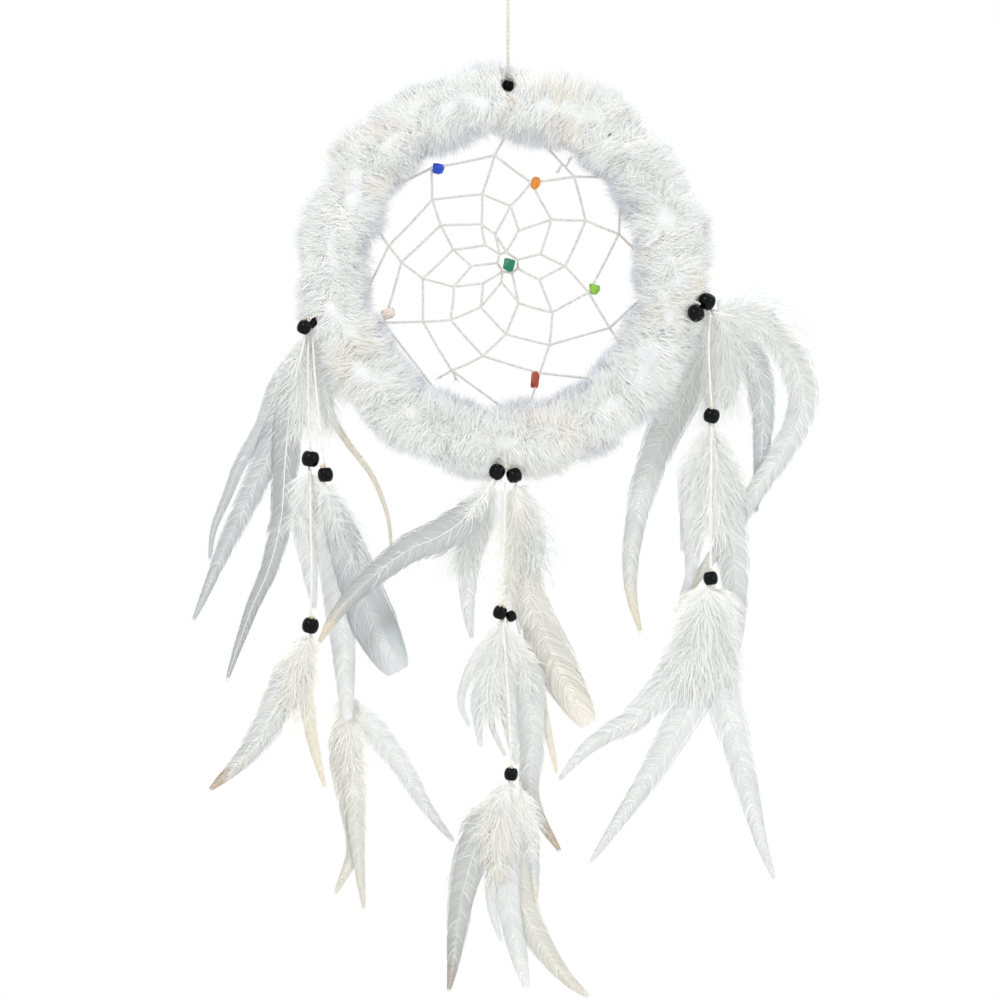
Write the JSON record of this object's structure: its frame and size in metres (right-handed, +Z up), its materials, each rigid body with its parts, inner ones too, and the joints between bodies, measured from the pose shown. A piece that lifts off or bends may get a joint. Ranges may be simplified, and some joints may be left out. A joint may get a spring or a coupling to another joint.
{
  "type": "dream catcher",
  "caption": "Dream catcher: round hoop wrapped in white fur, knotted web with small coloured stones, and strings of black beads and white feathers below, on a hanging cord.",
  "frame": {"origin": "top of the hanging loop, where it rests on a nail or hook", "axes": "+Z up, -Y the front of the web, +X to the right seen from the front"},
  "size_m": [0.2943, 0.0333, 0.5095],
  "materials": {
    "cord": "twisted off-white cotton cord",
    "thread": "waxed twisted off-white thread",
    "metal": "plain drawn wire",
    "fur": "long soft white rabbit fur",
    "bead": "glossy black lacquer",
    "feather": "soft white feather with cream quills and downy edges",
    "stone_blue": "tumbled, half-gloss",
    "stone_orange": "tumbled, half-gloss",
    "stone_pink": "tumbled, half-gloss",
    "stone_lime": "tumbled, half-gloss",
    "stone_red": "tumbled, half-gloss",
    "stone_green": "tumbled, half-gloss"
  },
  "bodies": {
    "hanger": {"hanging_loop": "cord"},
    "cord": {"hanging_cord": "cord"},
    "hoop": {"hoop_ring": "metal", "fur_wrap": "fur", "web_thread": "thread", "bead_top": "bead", "stone_blue": "stone_blue", "stone_orange": "stone_orange", "stone_pink": "stone_pink", "stone_lime": "stone_lime", "stone_red": "stone_red", "stone_green": "stone_green"},
    "left_1": {"bead_left_1_front": "bead", "bead_left_1_rear": "bead", "feather_left_1_broad": "feather", "feather_left_1_long": "feather", "feather_left_1_narrow": "feather"},
    "left_2": {"bead_left_2_upper": "bead", "bead_left_2_lower": "bead", "string_left_1": "cord", "string_left_2": "cord", "feather_left_2_pointed": "feather", "feather_left_2_paddle": "feather", "feather_left_2_long": "feather"},
    "left_3": {"bead_left_3": "bead", "string_left_3": "cord", "feather_left_3": "feather"},
    "left_4": {"bead_left_4": "bead", "string_left_4": "cord", "feather_left_4_right": "feather", "feather_left_4_long": "feather"},
    "centre_1": {"bead_centre_1_left": "bead", "bead_centre_1_right": "bead", "feather_centre_1_sweep": "feather", "feather_centre_1_left": "feather", "feather_centre_1_right": "feather"},
    "centre_2": {"bead_centre_2_front": "bead", "bead_centre_2_rear": "bead", "string_centre_1": "cord", "feather_centre_2_mid": "feather", "feather_centre_2_right": "feather"},
    "centre_3": {"bead_centre_3": "bead", "string_centre_2": "cord", "feather_centre_3_left": "feather", "feather_centre_3_mid": "feather", "feather_centre_3_right": "feather"},
    "right_1": {"bead_right_1_upper": "bead", "bead_right_1_lower": "bead", "feather_right_1_arc": "feather", "feather_right_1_short": "feather", "feather_right_1_inner": "feather"},
    "right_2": {"bead_right_2": "bead", "string_right_1": "cord", "feather_right_2_inner": "feather", "feather_right_2_outer": "feather"},
    "right_3": {"bead_right_3": "bead", "string_right_2": "cord", "feather_right_3_inner": "feather", "feather_right_3_mid": "feather", "feather_right_3_outer": "feather"}
  },
  "joints": [
    {"name": "cord_swing", "type": "hinge", "parent": "hanger", "child": "cord", "pos_m": [0, 0, -0.03], "axis": [0, 1, 0], "range_deg": [-15, 15]},
    {"name": "hoop_twist", "type": "hinge", "parent": "cord", "child": "hoop", "pos_m": [0, 0, -0.085], "axis": [0, 0, 1], "range_deg": [-180, 180]},
    {"name": "left_1_swing", "type": "hinge", "parent": "hoop", "child": "left_1", "pos_m": [-0.0935, -0.009, -0.1875], "axis": [0, 1, 0], "range_deg": [-8, 8]},
    {"name": "left_2_swing", "type": "hinge", "parent": "left_1", "child": "left_2", "pos_m": [-0.093, -0.008, -0.197], "axis": [0, 1, 0], "range_deg": [-8, 8]},
    {"name": "left_3_swing", "type": "hinge", "parent": "left_2", "child": "left_3", "pos_m": [-0.0926, -0.0075, -0.26], "axis": [0, 1, 0], "range_deg": [-10, 10]},
    {"name": "left_4_swing", "type": "hinge", "parent": "left_2", "child": "left_4", "pos_m": [-0.0855, -0.007, -0.2673], "axis": [0, 1, 0], "range_deg": [-10, 10]},
    {"name": "centre_1_swing", "type": "hinge", "parent": "hoop", "child": "centre_1", "pos_m": [-0.0014, -0.0105, -0.257], "axis": [0, 1, 0], "range_deg": [-6, 6]},
    {"name": "centre_2_swing", "type": "hinge", "parent": "centre_1", "child": "centre_2", "pos_m": [-0.0014, -0.0105, -0.2665], "axis": [0, 1, 0], "range_deg": [-8, 8]},
    {"name": "centre_3_swing", "type": "hinge", "parent": "centre_2", "child": "centre_3", "pos_m": [-0.0014, -0.0105, -0.332], "axis": [0, 1, 0], "range_deg": [-10, 10]},
    {"name": "right_1_swing", "type": "hinge", "parent": "hoop", "child": "right_1", "pos_m": [0.0905, -0.0095, -0.1785], "axis": [0, 1, 0], "range_deg": [-8, 4]},
    {"name": "right_2_swing", "type": "hinge", "parent": "right_1", "child": "right_2", "pos_m": [0.0945, -0.0075, -0.1875], "axis": [0, 1, 0], "range_deg": [-8, 5]},
    {"name": "right_3_swing", "type": "hinge", "parent": "right_2", "child": "right_3", "pos_m": [0.0954, -0.0075, -0.2395], "axis": [0, 1, 0], "range_deg": [-10, 6]}
  ]
}
